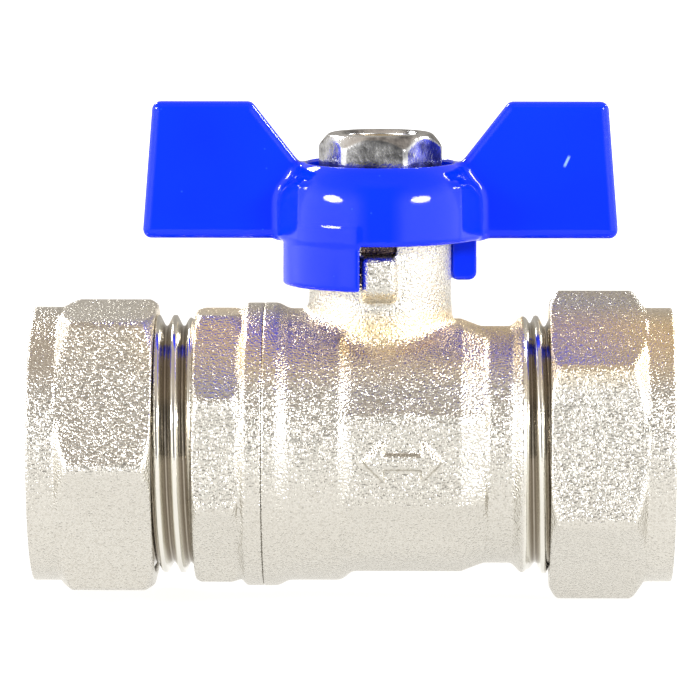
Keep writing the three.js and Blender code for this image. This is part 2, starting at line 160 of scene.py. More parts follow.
def surface(f, kind, a, r, t):
    """Vertices and quads of f = 0 on the grid a by r by t. t goes round once for kinds x and z."""
    a, r, t = (np.asarray(v, float) for v in (a, r, t))
    wrap = kind in "xz"
    na, nr, nt = len(a), len(r), len(t)
    val = np.empty((na, nr, nt), np.float32)
    step = max(4, int(2.0e6 / (nr * nt)))
    tstep = max(8, nt // 6)
    for i in range(0, na, step):
        for k in range(0, nt, tstep):
            p = points(kind, a[i:i + step, None, None], r[None, :, None], t[None, None, k:k + tstep])
            val[i:i + step, :, k:k + tstep] = np.broadcast_to(f(p), (min(step, na - i), nr, min(tstep, nt - k)))
    if wrap:
        val = np.concatenate([val, val[:, :, :1]], axis=2)
        t = np.append(t, t[0] + 2 * math.pi)
    inside = val < 0
    s = np.zeros((na - 1, nr - 1, val.shape[2] - 1), np.int8)
    for di in (0, 1):
        for dj in (0, 1):
            for dk in (0, 1):
                s += inside[di:na - 1 + di, dj:nr - 1 + dj, dk:val.shape[2] - 1 + dk]
    ci, cj, ck = np.nonzero((s > 0) & (s < 8))
    del s
    n = len(ci)
    cid = np.full((na - 1, nr - 1, val.shape[2] - 1), -1, np.int32)
    cid[ci, cj, ck] = np.arange(n)
    corner = {}
    for di in (0, 1):
        for dj in (0, 1):
            for dk in (0, 1):
                corner[di, dj, dk] = val[ci + di, cj + dj, ck + dk]
    acc, cnt = np.zeros((n, 3)), np.zeros(n)
    keys = list(corner)
    for p0 in keys:
        for ax in range(3):
            if p0[ax]:
                continue
            p1 = tuple(1 if q == ax else p0[q] for q in range(3))
            v0, v1 = corner[p0], corner[p1]
            hit = (v0 < 0) != (v1 < 0)
            w = np.where(hit, v0 / np.where(hit, v0 - v1, 1), 0)
            pos = np.stack([np.full(n, float(p0[q])) if q != ax else w for q in range(3)], 1)
            acc += np.where(hit[:, None], pos, 0)
            cnt += hit
    acc /= cnt[:, None]
    u = a[ci] + (a[ci + 1] - a[ci]) * acc[:, 0]
    v = r[cj] + (r[cj + 1] - r[cj]) * acc[:, 1]
    w = t[ck] + (t[ck + 1] - t[ck]) * acc[:, 2]
    q = points(kind, u, v, w)
    xyz = np.stack([q.x * np.ones(n), q.y * np.ones(n), q.z * np.ones(n)], 1)

    quads = []
    nk = cid.shape[2]
    sgn = inside[:-1] != inside[1:]  # edges along a
    i, j, k = np.nonzero(sgn[:, 1:-1, (0 if wrap else 1):nk])
    j += 1
    k += 0 if wrap else 1
    km = (k - 1) % nk
    qd = np.stack([cid[i, j - 1, km], cid[i, j, km], cid[i, j, k], cid[i, j - 1, k]], 1)
    flip = inside[i, j, k]
    quads.append(np.where(flip[:, None], qd, qd[:, ::-1]))
    sgn = inside[:, :-1] != inside[:, 1:]  # edges along r
    i, j, k = np.nonzero(sgn[1:-1, :, (0 if wrap else 1):nk])
    i += 1
    k += 0 if wrap else 1
    km = (k - 1) % nk
    qd = np.stack([cid[i - 1, j, km], cid[i - 1, j, k], cid[i, j, k], cid[i, j, km]], 1)
    flip = inside[i, j, k]
    quads.append(np.where(flip[:, None], qd, qd[:, ::-1]))
    sgn = inside[:, :, :-1] != inside[:, :, 1:]  # edges along t
    i, j, k = np.nonzero(sgn[1:-1, 1:-1, :])
    i += 1
    j += 1
    qd = np.stack([cid[i - 1, j - 1, k], cid[i, j - 1, k], cid[i, j, k], cid[i - 1, j, k]], 1)
    flip = inside[i, j, k]
    quads.append(np.where(flip[:, None], qd, qd[:, ::-1]))
    quads = np.concatenate(quads)
    quads = quads[(quads >= 0).all(1)]

    # pull the vertices onto the surface
    e = 0.01
    for _ in range(3):
        for lo in range(0, n, 60000):
            c = xyz[lo:lo + 60000]

            def at(dx=0.0, dy=0.0, dz=0.0):
                return np.asarray(f(free_points(kind, c[:, 0] + dx, c[:, 1] + dy, c[:, 2] + dz)), float)

            d0 = at()
            g = np.stack([at(dx=e) - at(dx=-e), at(dy=e) - at(dy=-e), at(dz=e) - at(dz=-e)], 1) / (2 * e)
            gg = np.maximum((g * g).sum(1), 0.25)
            move = -(d0 / gg)[:, None] * g
            size = np.linalg.norm(move, axis=1)
            move *= np.minimum(1, 0.15 / np.maximum(size, 1e-9))[:, None]
            xyz[lo:lo + 60000] = c + move * 0.9
    return xyz, quads


def even(lo, hi, step):
    return np.linspace(lo, hi, max(2, int(round((hi - lo) / step)) + 1))


def graded(*spans):
    """Grid lines from spans (start, end, step), joined end to end."""
    out = []
    for lo, hi, step in spans:
        out.extend(even(lo, hi, step)[:-1])
    out.append(spans[-1][1])
    return np.array(out)


def ring(n):
    return np.arange(n) * 2 * math.pi / n


# ------------------------------------------------------------------ dimensions shared with the frame
PIPE_R, PORT_R, BORE_R, BALL_R = 11.1, 8.5, 8.25, 12.5
PITCH, THREAD_R, ROOT_R, NUT_MINOR_R, NUT_MAJOR_R = 2.0, 14.97, 13.68, 14.03, 15.13
SEAM_X, CON_END = -13.36, -13.40
LEFT_TIP, RIGHT_TIP = -31.9, 26.0
RIGHT_TOP_X, LEFT_TOP_X = 18.04, -23.75
HUB_R, EDGE = 11.35, 2.25


def frac(v):
    return v - np.floor(v)


def thread(x, th, x_top, root, crest, land, foot):
    """Radius of a right-handed thread: land and foot are half widths of the crest and of its foot."""
    u = frac((x - x_top) / PITCH - th / (2 * math.pi) + 0.5) - 0.5
    u = np.abs(u) * PITCH
    v = np.clip((foot - u) / (foot - land), 0, 1)
    v = v * v * (3 - 2 * v) * 0.35 + v * 0.65
    return root + (crest - root) * v


# ------------------------------------------------------------------ pieces
body_prof = Prof([(-16, 16.44), (-11.75, 16.44), (-10.5, 15.78), (-4.5, 15.78), (-3.1, 14.75), (-2.0, 13.6), (9.3, 13.3), (10.6, 13.75), (15.3, 13.75), (16.3, 14.95), (16.8, 14.95), (17.6, 13.7), (30, 13.7)], 0.28)
NECK = Prof([(8, 8.6), (14.0, 8.45), (15.6, 8.3), (17.5, 8.2), (28, 8.2)], 0.5)
BODY_IN = [(-16, 0), (-16, 14.6), (-13.45, 14.6), (-12.95, 14.1), (-7.4, 14.1), (-7.4, 12.95), (5.4, 12.95), (5.4, 12.0), (10.55, 12.0), (10.55, PORT_R),
           (12.8, PORT_R), (12.8, PIPE_R), (24.2, PIPE_R), (RIGHT_TIP, 12.9), (28, 14.9), (28, 0)]
NECK_IN = [(0, 5), (6.4, 5), (6.4, 15.5), (5.0, 15.5), (5.0, 20.4), (6.4, 20.4), (6.4, 24.6), (7.0, 25.2), (7.0, 27), (0, 27)]
ARROW = [(-2.0, 0), (0.7, 2.7), (0.7, 1.0), (4.7, 1.0), (4.7, 2.7), (7.4, 0), (4.7, -2.7), (4.7, -1.0), (0.7, -1.0), (0.7, -2.7)]


def valve_body(p):
    d = body_prof.dist(p.x, p.rho)
    if p.x.max() > 16.2:
        h = np.clip((p.x - 16.4) / 1.5, 0, 1)
        rt = thread(p.x, p.th, RIGHT_TOP_X, ROOT_R, ROOT_R + (THREAD_R - ROOT_R) * (0.15 + 0.85 * h), 0.2, 0.93)
        dt = (p.rho - rt) * 0.88
        dt = smax(dt, (p.rho + p.x - (RIGHT_TIP + 13.75)) * 0.7071, 0.15)
        dt = smax(dt, 16.3 - p.x, 0.2)
        d = smin(smax(d, p.x - 17.3, 0.3), dt, 0.25)
    # faceted middle, its flats tapering towards the right neck
    if not p.far(-6, 14, -17, 17, -17, 17):
        taper = 1.15 * np.clip((p.x - 9.35) / 3.1, 0, 1)
        # flats: front and back, four slopes, four shoulders, top and bottom; a shallow groove runs along the foot of the front flat
        f = smax(-p.y - 14.86 + 0.17 * np.exp(-((p.z + 4.7) / 0.26) ** 2) + 0.17 * np.exp(-((p.z - 4.85) / 0.26) ** 2), p.y - 14.86, 0.1)
        f = smax(f, 0.815 * np.abs(p.y) + 0.58 * p.z - 14.98, 0.3)
        f = smax(f, 0.815 * np.abs(p.y) - 0.58 * p.z - 14.98, 0.08)
        f = smax(f, 0.49 * np.abs(p.y) + 0.872 * np.abs(p.z) - 15.05, 0.9)
        f = smax(f, np.abs(p.z) - 14.2, 0.6) + taper
        f = f * 0.97
        f = smax(f, np.abs(p.x - 4.0) - 8.3, 0.4)
        d = smin(d, f, 0.5)
    # neck
    if not p.far(-13, 13, -13, 13, 9, 28):
        rz = p.rz()
        nk = smax(NECK.dist(p.z, rz), p.z - 25.0, 0.5)
        nk = smax(nk, 9.0 - p.z, 1.0)
        d = smin(d, nk, 1.15)
    # stop lug with a drafted underside
    if not p.far(-3, 3, -11, -6, 16, 24):
        lug = box3(p.x, p.y, p.z, (0, -8.6, 20.15), (1.97, 1.86, 2.67), 0.85)
        lug = smax(lug, -0.6 * (p.y + 10.46) - 0.8 * (p.z - 18.75), 0.5)
        d = smin(d, lug, 0.45)
        # narrow slot between the lug and the hub
        d = smax(d, -box3(p.x, p.y, p.z, (-0.1, -8.2, 23.75), (1.95, 1.2, 0.95), 0.3), 0.2)
    # flow arrow on the front flat
    if not p.far(-3, 9, -16, -13, -4, 4):
        a = poly(p.x, p.z, ARROW, 0.0)
        a = smax(a * 0.95 + (-14.86 - p.y) * 0.4, -(p.y + 15.5), 0.08)
        a = smax(a, p.y + 14.3, 0.1)
        d = smin(d, a, 0.15)
    # passage
    d = smax(d, -poly(p.x, p.rho, BODY_IN), 0.12)
    if not p.far(-8, 8, -8, 8, 5, 27):
        d = smax(d, -poly(p.rz(), p.z, NECK_IN), 0.12)
    d = smax(d, SEAM_X - p.x, 0.12)
    return smax(d, p.x - RIGHT_TIP, 0.2)


con_prof = Prof([(-23, 13.7), (-22.0, 13.72), (-21.35, 14.2), (-21.3, 15.0), (-16.4, 15.3), (-15.35, 16.42), (-10, 16.44)], 0.12)
band_prof = Prof([(-21.9, 15.2), (-21.3, 15.85), (-20.5, 16.85), (-17.0, 16.85), (-15.2, 15.2)], 0.14)
CON_IN = [(-34, 0), (-34, 15.0), (LEFT_TIP, 12.9), (LEFT_TIP + 1.8, PIPE_R), (-17.5, PIPE_R), (-17.5, PORT_R), (-10.55, PORT_R), (-10.55, 12.0), (-6, 12.0), (-6, 0)]


def end_connector(p):
    d = con_prof.dist(p.x, p.rho)
    d = smax(d, p.x - CON_END, 0.14)
    d = np.minimum(d, smax(p.rho - 13.8, p.x + 8.3, 0.3))
    d = smax(d, -21.9 - p.x, 0.3)
    if p.x.min() < -20.5:
        h = np.clip((-20.9 - p.x) / 1.5, 0, 1)
        rt = thread(p.x, p.th, LEFT_TOP_X, ROOT_R, ROOT_R + (THREAD_R - ROOT_R) * (0.25 + 0.75 * h), 0.2, 0.93)
        dt = (p.rho - rt) * 0.88
        dt = smax(dt, (p.rho - p.x - (13.75 - LEFT_TIP)) * 0.7071, 0.15)
        dt = smax(dt, p.x + 21.2, 0.2)
        d = smin(d, dt, 0.15)
    if not p.far(-22, -14, -17, 17, -17, 17):
        o = planes(p.y, p.z, 8, 15.42, math.radians(20.2), 0.35)
        o = smax(o, band_prof.dist(p.x, p.rho), 0.3)
        o = smax(o, smax(-21.32 - p.x, p.x + 14.6, 0.3), 0.3)
        d = smin(d, o, 0.3)
    d = smax(d, -poly(p.x, p.rho, CON_IN), 0.12)
    return smax(d, LEFT_TIP - p.x, 0.2)


def compression_nut(side, face, x_top, a0):
    hexp = Prof([(-2, 15.4), (2.9, 15.5), (4.75, 18.1), (13.2, 18.1), (14.35, 16.3), (17, 16.3)], 0.12)
    inner = [(-2, 0), (-2, 11.65), (0, 11.65), (0.4, 11.25), (1.6, 11.25), (4.4, 13.4), (4.9, NUT_MINOR_R), (13.2, NUT_MINOR_R), (14.2, 15.0), (16, 15.0), (16, 0)]

    def f(p):
        u = side * (face - p.x)
        d = planes(p.y, p.z, 6, 15.7, a0, 0.75)
        d = smax(d, hexp.dist(u, p.rho), 0.45)
        d = smin(d, smax(p.rho - 15.88, u - 3.1, 0.3), 0.35)
        d = smax(d, smax(-u, u - 14.2, 0.3), 0.2)
        hole = poly(u, p.rho, inner)
        d = smax(d, -hole, 0.15)
        if p.rho.max() > 13:
            rt = thread(p.x, p.th, x_top, NUT_MINOR_R - 0.05, NUT_MAJOR_R, 0.28, 0.92)
            cut = smax((p.rho - rt) * 0.88, smax(4.9 - u, u - 14.6, 0.2), 0.2)
            d = smax(d, -cut, 0.08)
        return d

    return f


def turned(pts, r=0.15):
    """A turned piece about its grid's own axis from (along, radius) points, with rounded edges."""
    small = shrink(pts, r)

    def f(p):
        along = p.x if turned.kind == "x" else p.z
        return poly(along, p.rho, small, r)

    return f


turned.kind = "x"


def shrink(pts, r):
    """Moves each side of a polygon inwards by r."""
    n = len(pts)
    area = sum(pts[i][0] * pts[(i + 1) % n][1] - pts[(i + 1) % n][0] * pts[i][1] for i in range(n))
    s = 1 if area > 0 else -1
    lines = []
    for i in range(n):
        (ax, ay), (bx, by) = pts[i], pts[(i + 1) % n]
        L = math.hypot(bx - ax, by - ay)
        nx, ny = -(by - ay) / L * s, (bx - ax) / L * s
        lines.append((ax + nx * r, ay + ny * r, bx - ax, by - ay))
    out = []
    for i in range(n):
        x1, y1, dx1, dy1 = lines[i - 1]
        x2, y2, dx2, dy2 = lines[i]
        den = dx1 * dy2 - dy1 * dx2
        if abs(den) < 1e-9:
            out.append((x2, y2))
            continue
        t = ((x2 - x1) * dy2 - (y2 - y1) * dx2) / den
        out.append((x1 + dx1 * t, y1 + dy1 * t))
    return out


def ball_piece(p):
    d = np.sqrt(p.x * p.x + p.rho * p.rho) - BALL_R
    d = smax(d, BORE_R - p.rho, 0.5)
    if not p.far(-3, 3, -9, 9, 9.3, 14):
        d = smax(d, -box3(p.x, p.y, p.z, (0, 0, 13.3), (3.0, 9.0, 4.0), 0.3), 0.15)
    return d


def seat_piece(side):
    pts = [(9.31, 8.7), (7.9, 9.9), (6.45, 11.0), (6.45, 11.8), (10.3, 11.8), (10.3, 8.7)]

    def f(p):
        d = poly(side * p.x, p.rho, shrink(pts, 0.12), 0.12)
        return smax(d, BALL_R + 0.2 - np.sqrt(p.x * p.x + p.rho * p.rho), 0.05)

    return f


HUB_OUT = [(0, 23.9), (10.75, 23.9), (10.75, 28.7), (10.55, 29.9), (10.1, 30.9), (9.45, 31.7), (8.55, 32.2), (0, 32.2)]


def handle_piece(p):
    rho = p.rz()
    # hub: a crowned cap with a thin rounded rim
    ex, ez = np.maximum(rho - 7.6, 0), np.maximum(p.z - 27.0, 0)
    k0, k1 = np.hypot(ex / 3.75, ez / 6.2), np.hypot(ex / 3.75 ** 2, ez / 6.2 ** 2)
    d = np.where(k1 > 0, k0 * (k0 - 1) / np.maximum(k1, 1e-9), -3.75)
    # thicker roots where the wings leave the hub
    if not p.far(-12, 12, -8, 8, 24, 33):
        root = poly(np.abs(p.x), p.y, [(6.0, -7.0), (9.0, -6.2), (11.5, -2.4), (11.5, 2.4), (9.0, 6.2), (6.0, 7.0)], 0.4)
        cap = np.hypot(np.maximum(np.abs(p.x) - 8.6, 0), np.maximum(p.z - 27.9, 0)) + np.minimum(np.maximum(np.abs(p.x) - 8.6, p.z - 27.9), 0) - 3.3
        d = smin(d, smax(root, cap, 1.0), 0.35)
    d = smax(d, 24.1 - p.z, 0.55)
    wings = None
    for s in (-1, 1):
        if p.far(*((8, 29, -4, 4, 23, 41) if s > 0 else (-29, -8, -4, 4, 23, 41))):
            continue
        ax = s * p.x
        w = poly(ax, p.z, [(8.0, 25.05), (26.45, 25.05), (25.35, 38.9), (15.35, 38.9), (10.55, 32.75), (9.9, 31.6), (8.0, 30.0)], 1.0)
        half = 1.5 - 0.012 * (ax - 10)
        w = smax(w, np.abs(p.y) - half, 1.15)
        w = smax(w, 9.0 - ax, 0.2)
        wings = w if wings is None else np.minimum(wings, w)
    if wings is not None:
        d = smin(d, wings, 1.1)
    # skirt segments
    if p.z.min() < 26:
        for s, r in ((-1, 0.4), (1, 0.95)):
            ringd = poly(rho, p.z, [(8.5 + r, 18.93 + r), (11.45 - r, 18.93 + r), (11.45 - r, 26.0), (8.5 + r, 26.0)], r)
            seg = smax(ringd, smax(EDGE - s * p.x, EDGE - s * p.y, 0.3), 0.35)
            d = smin(d, seg, 0.3)
    # recess for the nut, hollow below, hole with two flats
    d = smax(d, -poly(rho, p.z, [(0, 30.3), (8.05, 30.3), (8.15, 32.0), (8.3, 35), (0, 35)], 0.3), 0.35)
    lowc = poly(rho, p.z, [(0, 10), (8.35, 10), (8.35, 27.4), (0, 27.4)], 0.3)
    d = smax(d, -lowc, 0.15)
    hole = smax(rho - 4.2, np.abs(p.y) - 3.2, 0.2)
    return smax(d, -hole, 0.25)


def handle_nut(p):
    d = planes(p.x, p.y, 6, 6.33, math.radians(-6.5), 0.4)
    top = Prof([(29, 5.9), (30.3, 6.2), (31.1, 7.25), (34.75, 7.25), (35.85, 6.35), (36.4, 5.85), (38, 4.4)], 0.1)
    d = smax(d, top.dist(p.z, p.rho), 0.25)
    d = smax(d, smax(30.3 - p.z, p.z - 36.3, 0.2), 0.3)
    u = frac(p.z / 1.25 - p.th / (2 * math.pi) + 0.5) - 0.5
    rt = 4.02 + 0.16 * np.clip(1.6 * (0.5 - np.abs(u) * 2) + 0.5, 0, 1)
    hole = poly(p.rho, p.z, [(0, 28), (5.0, 28), (4.55, 30.3), (4.1, 30.75), (4.1, 35.9), (4.5, 36.3), (6.2, 38), (0, 38)])
    d = smax(d, -hole, 0.12)
    return smax(d, -smax(p.rho - rt, np.abs(p.z - 33.3) - 2.9, 0.2), 0.08)


def stem_piece(p):
    rz = p.rz()
    d = poly(rz, p.z, [(-1, 12.95), (5.85, 12.95), (5.85, 14.15), (4.6, 14.15), (4.6, 15.95), (3.6, 15.95), (3.6, 17.55), (4.6, 17.55), (4.6, 18.05), (3.6, 18.05), (3.6, 19.65),
                       (4.6, 19.65), (4.6, 27.1), (4.25, 27.25), (3.85, 27.4), (3.85, 35.25), (3.35, 35.75), (-1, 35.75)], 0.15)
    if p.z.max() > 29:
        th = np.arctan2(p.y, p.x)
        u = frac(p.z / 1.25 - th / (2 * math.pi) + 0.5) - 0.5
        groove = 3.62 + 0.38 * np.clip(np.abs(u) * 2.6, 0, 1)
        d = smax(d, smin((rz - groove) * 0.8, 29.5 - p.z, 0.2), 0.1)
    if p.z.max() > 27:
        d = smax(d, smin(np.abs(p.y) - 3.0, 27.4 - p.z, 0.1), 0.15)
    if p.z.max() > 34:  # sheared end, slightly hollow and uneven
        d = smax(d, p.z - 35.75 - 0.07 * np.sin(p.x * 2.1 + 1.0) * np.cos(p.y * 1.7) - 0.02 * rz * rz + 0.25, 0.12)
    tang = box3(p.x, p.y, p.z, (0, 0, 11.5), (2.7, 5.2, 1.9), 0.25)
    return smin(d, tang, 0.15)


def gland_piece(p):
    hexd = smax(planes(p.x, p.y, 6, 6.3, 0.2, 0.3), poly(p.rho, p.z, [(0, 25.4), (7.1, 25.4), (7.1, 26.5), (6.4, 26.95), (0, 26.95)], 0.13), 0.15)
    neck = poly(p.rho, p.z, [(0, 23.45), (6.0, 23.45), (6.0, 26), (0, 26)], 0.15)
    return smax(smin(hexd, neck, 0.15), 5.0 - p.rho, 0.15)


# ------------------------------------------------------------------ mesh objects
def build(name, node, body, f, kind, a, r, t, material, caps=False):
    xyz, quads = surface(f, kind, a, r, t)
    mesh = bpy.data.meshes.new(name)
    n, m = len(xyz), len(quads)
    mesh.vertices.add(n)
    mesh.vertices.foreach_set("co", (xyz * MM).astype(np.float32).ravel())
    mesh.loops.add(4 * m)
    mesh.loops.foreach_set("vertex_index", quads.astype(np.int32).ravel())
    mesh.polygons.add(m)
    mesh.polygons.foreach_set("loop_start", np.arange(0, 4 * m, 4, dtype=np.int32))
    mesh.update(calc_edges=True)
    mesh.validate()
    mesh.polygons.foreach_set("use_smooth", np.ones(len(mesh.polygons), bool))
    mesh.materials.append(material)
    mesh.update()
    o = bpy.data.objects.new(name, mesh)
    bpy.context.scene.collection.objects.link(o)
    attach(o, body)
    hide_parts(node)
    return o


# ------------------------------------------------------------------ materials
def mat(name):
    m = bpy.data.materials.new(name)
    m.use_nodes = True
    nt = m.node_tree
    nt.nodes.clear()
    out = nt.nodes.new("ShaderNodeOutputMaterial")
    bsdf = nt.nodes.new("ShaderNodeBsdfPrincipled")
    nt.links.new(bsdf.outputs[0], out.inputs[0])
    return m, nt, bsdf


def node(nt, kind, **values):
    n = nt.nodes.new(kind)
    for k, v in values.items():
        if k.startswith("_"):
            setattr(n, k[1:], v)
        else:
            n.inputs[k.replace("__", " ")].default_value = v
    return n


def coords(nt):
    return nt.nodes.new("ShaderNodeTexCoord").outputs["Object"]


def noise(nt, co, scale, detail=2.0, rough=0.5, dist=0.0):
    n = node(nt, "ShaderNodeTexNoise", Scale=scale, Detail=detail, Roughness=rough, Distortion=dist)
    nt.links.new(co, n.inputs["Vector"])
    return n.outputs["Fac"]


def voronoi(nt, co, scale, feature="F1", out="Distance"):
    n = node(nt, "ShaderNodeTexVoronoi", Scale=scale)
    n.feature = feature
    nt.links.new(co, n.inputs["Vector"])
    return n.outputs[out]


def ramp(nt, fac, stops):
    n = nt.nodes.new("ShaderNodeValToRGB")
    els = n.color_ramp.elements
    while len(els) < len(stops):
        els.new(0.5)
    for e, (pos, col) in zip(els, stops):
        e.position = pos
        e.color = (*col, 1) if len(col) == 3 else col
    nt.links.new(fac, n.inputs[0])
    return n.outputs[0]


def grey(v):
    return (v, v, v)


def math_node(nt, op, a, b=None):
    n = nt.nodes.new("ShaderNodeMath")
    n.operation = op
    for i, v in enumerate((a, b)):
        if v is None:
            continue
        if isinstance(v, (int, float)):
            n.inputs[i].default_value = v
        else:
            nt.links.new(v, n.inputs[i])
    return n.outputs[0]


def mix_rgb(nt, fac, a, b, blend="MIX"):
    n = nt.nodes.new("ShaderNodeMix")
    n.data_type = "RGBA"
    n.blend_type = blend
    for sock, v in ((n.inputs[0], fac), (n.inputs[6], a), (n.inputs[7], b)):
        if isinstance(v, (int, float)):
            sock.default_value = v
        elif isinstance(v, tuple):
            sock.default_value = (*v, 1) if len(v) == 3 else v
        else:
            nt.links.new(v, sock)
    return n.outputs[2]


def bump(nt, height, strength, distance, normal=None):
    n = node(nt, "ShaderNodeBump", Strength=strength, Distance=distance)
    nt.links.new(height, n.inputs["Height"])
    if normal is not None:
        nt.links.new(normal, n.inputs["Normal"])
    return n.outputs["Normal"]


def blasted_nickel(name, thread_zone=None, grain=1.0):
    """Nickel plate over shot-blasted brass: fine pitted grain, a little warm, polished where it is threaded. Painted
    light: a warm reflection tint on the upper faces, painted shade in the slot above the stop lug, and painted shade,
    partly grime, in the thread roots.
    """
    m, nt, b = mat(name)
    co = coords(nt)
    fine = noise(nt, co, 4200, 0.0, 0.5)
    pits = voronoi(nt, co, 4700, "SMOOTH_F1")
    mid = noise(nt, co, 5200, 0.0, 0.5)
    big = noise(nt, co, 120, 3.0, 0.5)
    h = math_node(nt, "ADD", math_node(nt, "MULTIPLY", fine, 1.0), math_node(nt, "MULTIPLY", pits, 0.5))
    h = math_node(nt, "ADD", h, math_node(nt, "MULTIPLY", mid, 0.5))
    col = mix_rgb(nt, ramp(nt, big, [(0.35, grey(0)), (0.65, grey(1))]), (0.83, 0.81, 0.755), (0.87, 0.855, 0.805))
    col = mix_rgb(nt, ramp(nt, fine, [(0.3, grey(0.0)), (0.55, grey(0.35))]), (0.60, 0.575, 0.52), col)
    rough = ramp(nt, fine, [(0.3, grey(0.24)), (0.7, grey(0.34))])
    strength = 1.0 * grain
    x = nt.nodes.new("ShaderNodeSeparateXYZ")
    nt.links.new(co, x.inputs[0])
    # Painted reflection: the upper faces, between about 8 and 16.6 mm high and fading towards the left end, are tinted
    # copper to stand in for a warm reflection. This is not the nickel's own colour.
    top = ramp(nt, math_node(nt, "MULTIPLY", math_node(nt, "SUBTRACT", x.outputs[2], 0.008), 1 / 0.010), [(0.0, grey(0)), (0.5, grey(0.9)), (0.66, grey(1)), (0.86, grey(0))])
    top = math_node(nt, "MULTIPLY", top, ramp(nt, math_node(nt, "MULTIPLY", math_node(nt, "ADD", x.outputs[0], 0.029), 1 / 0.010), [(0.0, grey(0.12)), (1.0, grey(1))]))
    col = mix_rgb(nt, math_node(nt, "MULTIPLY", top, 0.85), col, (1.0, 0.78, 0.46))
    # Painted shade: the narrow slot between the stop lug and the hub is coloured dark brown to stand in for the shade
    # inside it.
    slot_painted_shade = None
    for out, centre, half in ((0, -0.0001, 0.0021), (1, -0.0082, 0.0014), (2, 0.02376, 0.00100)):
        v = math_node(nt, "SUBTRACT", half, math_node(nt, "ABSOLUTE", math_node(nt, "SUBTRACT", x.outputs[out], centre)))
        v = ramp(nt, math_node(nt, "MULTIPLY", v, 5000), [(0.0, grey(0)), (1.0, grey(1))])
        slot_painted_shade = v if slot_painted_shade is None else math_node(nt, "MULTIPLY", slot_painted_shade, v)
    col = mix_rgb(nt, math_node(nt, "MULTIPLY", slot_painted_shade, 0.93), col, (0.16, 0.10, 0.075))
    if thread_zone:
        mask = None
        for lo, hi in thread_zone:
            r1 = ramp(nt, math_node(nt, "MULTIPLY", math_node(nt, "SUBTRACT", x.outputs[0], (lo - 0.15) * MM), 1 / (0.3 * MM)), [(0.0, grey(0)), (1.0, grey(1))])
            r2 = ramp(nt, math_node(nt, "MULTIPLY", math_node(nt, "SUBTRACT", (hi + 0.15) * MM, x.outputs[0]), 1 / (0.3 * MM)), [(0.0, grey(0)), (1.0, grey(1))])
            z = math_node(nt, "MULTIPLY", r1, r2)
            mask = z if mask is None else math_node(nt, "MAXIMUM", mask, z)
        keep = math_node(nt, "SUBTRACT", 1.0, mask)
        h = math_node(nt, "MULTIPLY", h, math_node(nt, "ADD", math_node(nt, "MULTIPLY", keep, 0.93), 0.07))
        rough = mix_rgb(nt, mask, rough, (0.13, 0.13, 0.13))
        col = mix_rgb(nt, mask, col, (0.80, 0.78, 0.72))
        # Painted shade, partly grime: in the threaded zones the colour turns dark brown towards the thread roots,
        # where the grooves are shaded.
        rr = math_node(nt, "SQRT", math_node(nt, "ADD", math_node(nt, "MULTIPLY", x.outputs[1], x.outputs[1]), math_node(nt, "MULTIPLY", x.outputs[2], x.outputs[2])))
        root_shade_and_grime = ramp(nt, math_node(nt, "MULTIPLY", math_node(nt, "SUBTRACT", rr, 0.0136), 1 / 0.0012), [(0.0, grey(1)), (0.25, grey(0.85)), (0.75, grey(0))])
        inner = ramp(nt, math_node(nt, "MULTIPLY", math_node(nt, "SUBTRACT", rr, 0.0130), 1 / 0.0003), [(0.0, grey(0)), (1.0, grey(1))])
        col = mix_rgb(nt, math_node(nt, "MULTIPLY", mask, math_node(nt, "MULTIPLY", root_shade_and_grime, inner)), col, (0.33, 0.29, 0.235))
    nt.links.new(col, b.inputs["Base Color"])
    nt.links.new(rough, b.inputs["Roughness"])
    nt.links.new(bump(nt, h, strength, 0.000108), b.inputs["Normal"])
    b.inputs["Metallic"].default_value = 1.0
    return m


def blue_coat():
    """Thick gloss epoxy on die-cast metal: slight orange peel, tiny specks and a faint scuff."""
    m, nt, b = mat("blue_epoxy")
    co = coords(nt)
    peel = noise(nt, co, 350, 2.0, 0.5)
    speck = voronoi(nt, co, 420)
    tone = noise(nt, co, 60, 2.0, 0.5)
    col = mix_rgb(nt, ramp(nt, tone, [(0.35, grey(0)), (0.65, grey(1))]), (0.0003, 0.020, 0.80), (0.0005, 0.026, 0.86))
    dots = ramp(nt, speck, [(0.0, grey(1)), (0.035, grey(0.6)), (0.06, grey(0))])
    col = mix_rgb(nt, math_node(nt, "MULTIPLY", dots, 0.5), col, (0.03, 0.12, 1.0))
    xyz = nt.nodes.new("ShaderNodeSeparateXYZ")
    nt.links.new(co, xyz.inputs[0])
    ux = math_node(nt, "SUBTRACT", xyz.outputs[0], 0.0215)
    uz = math_node(nt, "SUBTRACT", xyz.outputs[2], 0.0331)
    along = math_node(nt, "ABSOLUTE", math_node(nt, "ADD", math_node(nt, "MULTIPLY", ux, 0.42), math_node(nt, "MULTIPLY", uz, 0.91)))
    across = math_node(nt, "ABSOLUTE", math_node(nt, "SUBTRACT", math_node(nt, "MULTIPLY", ux, 0.91), math_node(nt, "MULTIPLY", uz, 0.42)))
    mark = math_node(nt, "MULTIPLY", ramp(nt, math_node(nt, "MULTIPLY", along, 1000), [(0.45, grey(1)), (0.8, grey(0))]), ramp(nt, math_node(nt, "MULTIPLY", across, 1000), [(0.08, grey(1)), (0.2, grey(0))]))
    mark = math_node(nt, "MULTIPLY", mark, ramp(nt, math_node(nt, "MULTIPLY", xyz.outputs[1], -1000), [(0.5, grey(0)), (0.6, grey(1))]))
    col = mix_rgb(nt, math_node(nt, "MULTIPLY", mark, 0.8), col, (0.25, 0.42, 1.0))
    nt.links.new(col, b.inputs["Base Color"])
    nt.links.new(ramp(nt, peel, [(0.3, grey(0.05)), (0.7, grey(0.09))]), b.inputs["Roughness"])
    h = math_node(nt, "ADD", math_node(nt, "MULTIPLY", peel, 0.5), math_node(nt, "MULTIPLY", dots, 0.35))
    nt.links.new(bump(nt, h, 0.14, 0.0001), b.inputs["Normal"])
    b.inputs["IOR"].default_value = 1.5
    b.inputs["Specular IOR Level"].default_value = 0.26
    return m


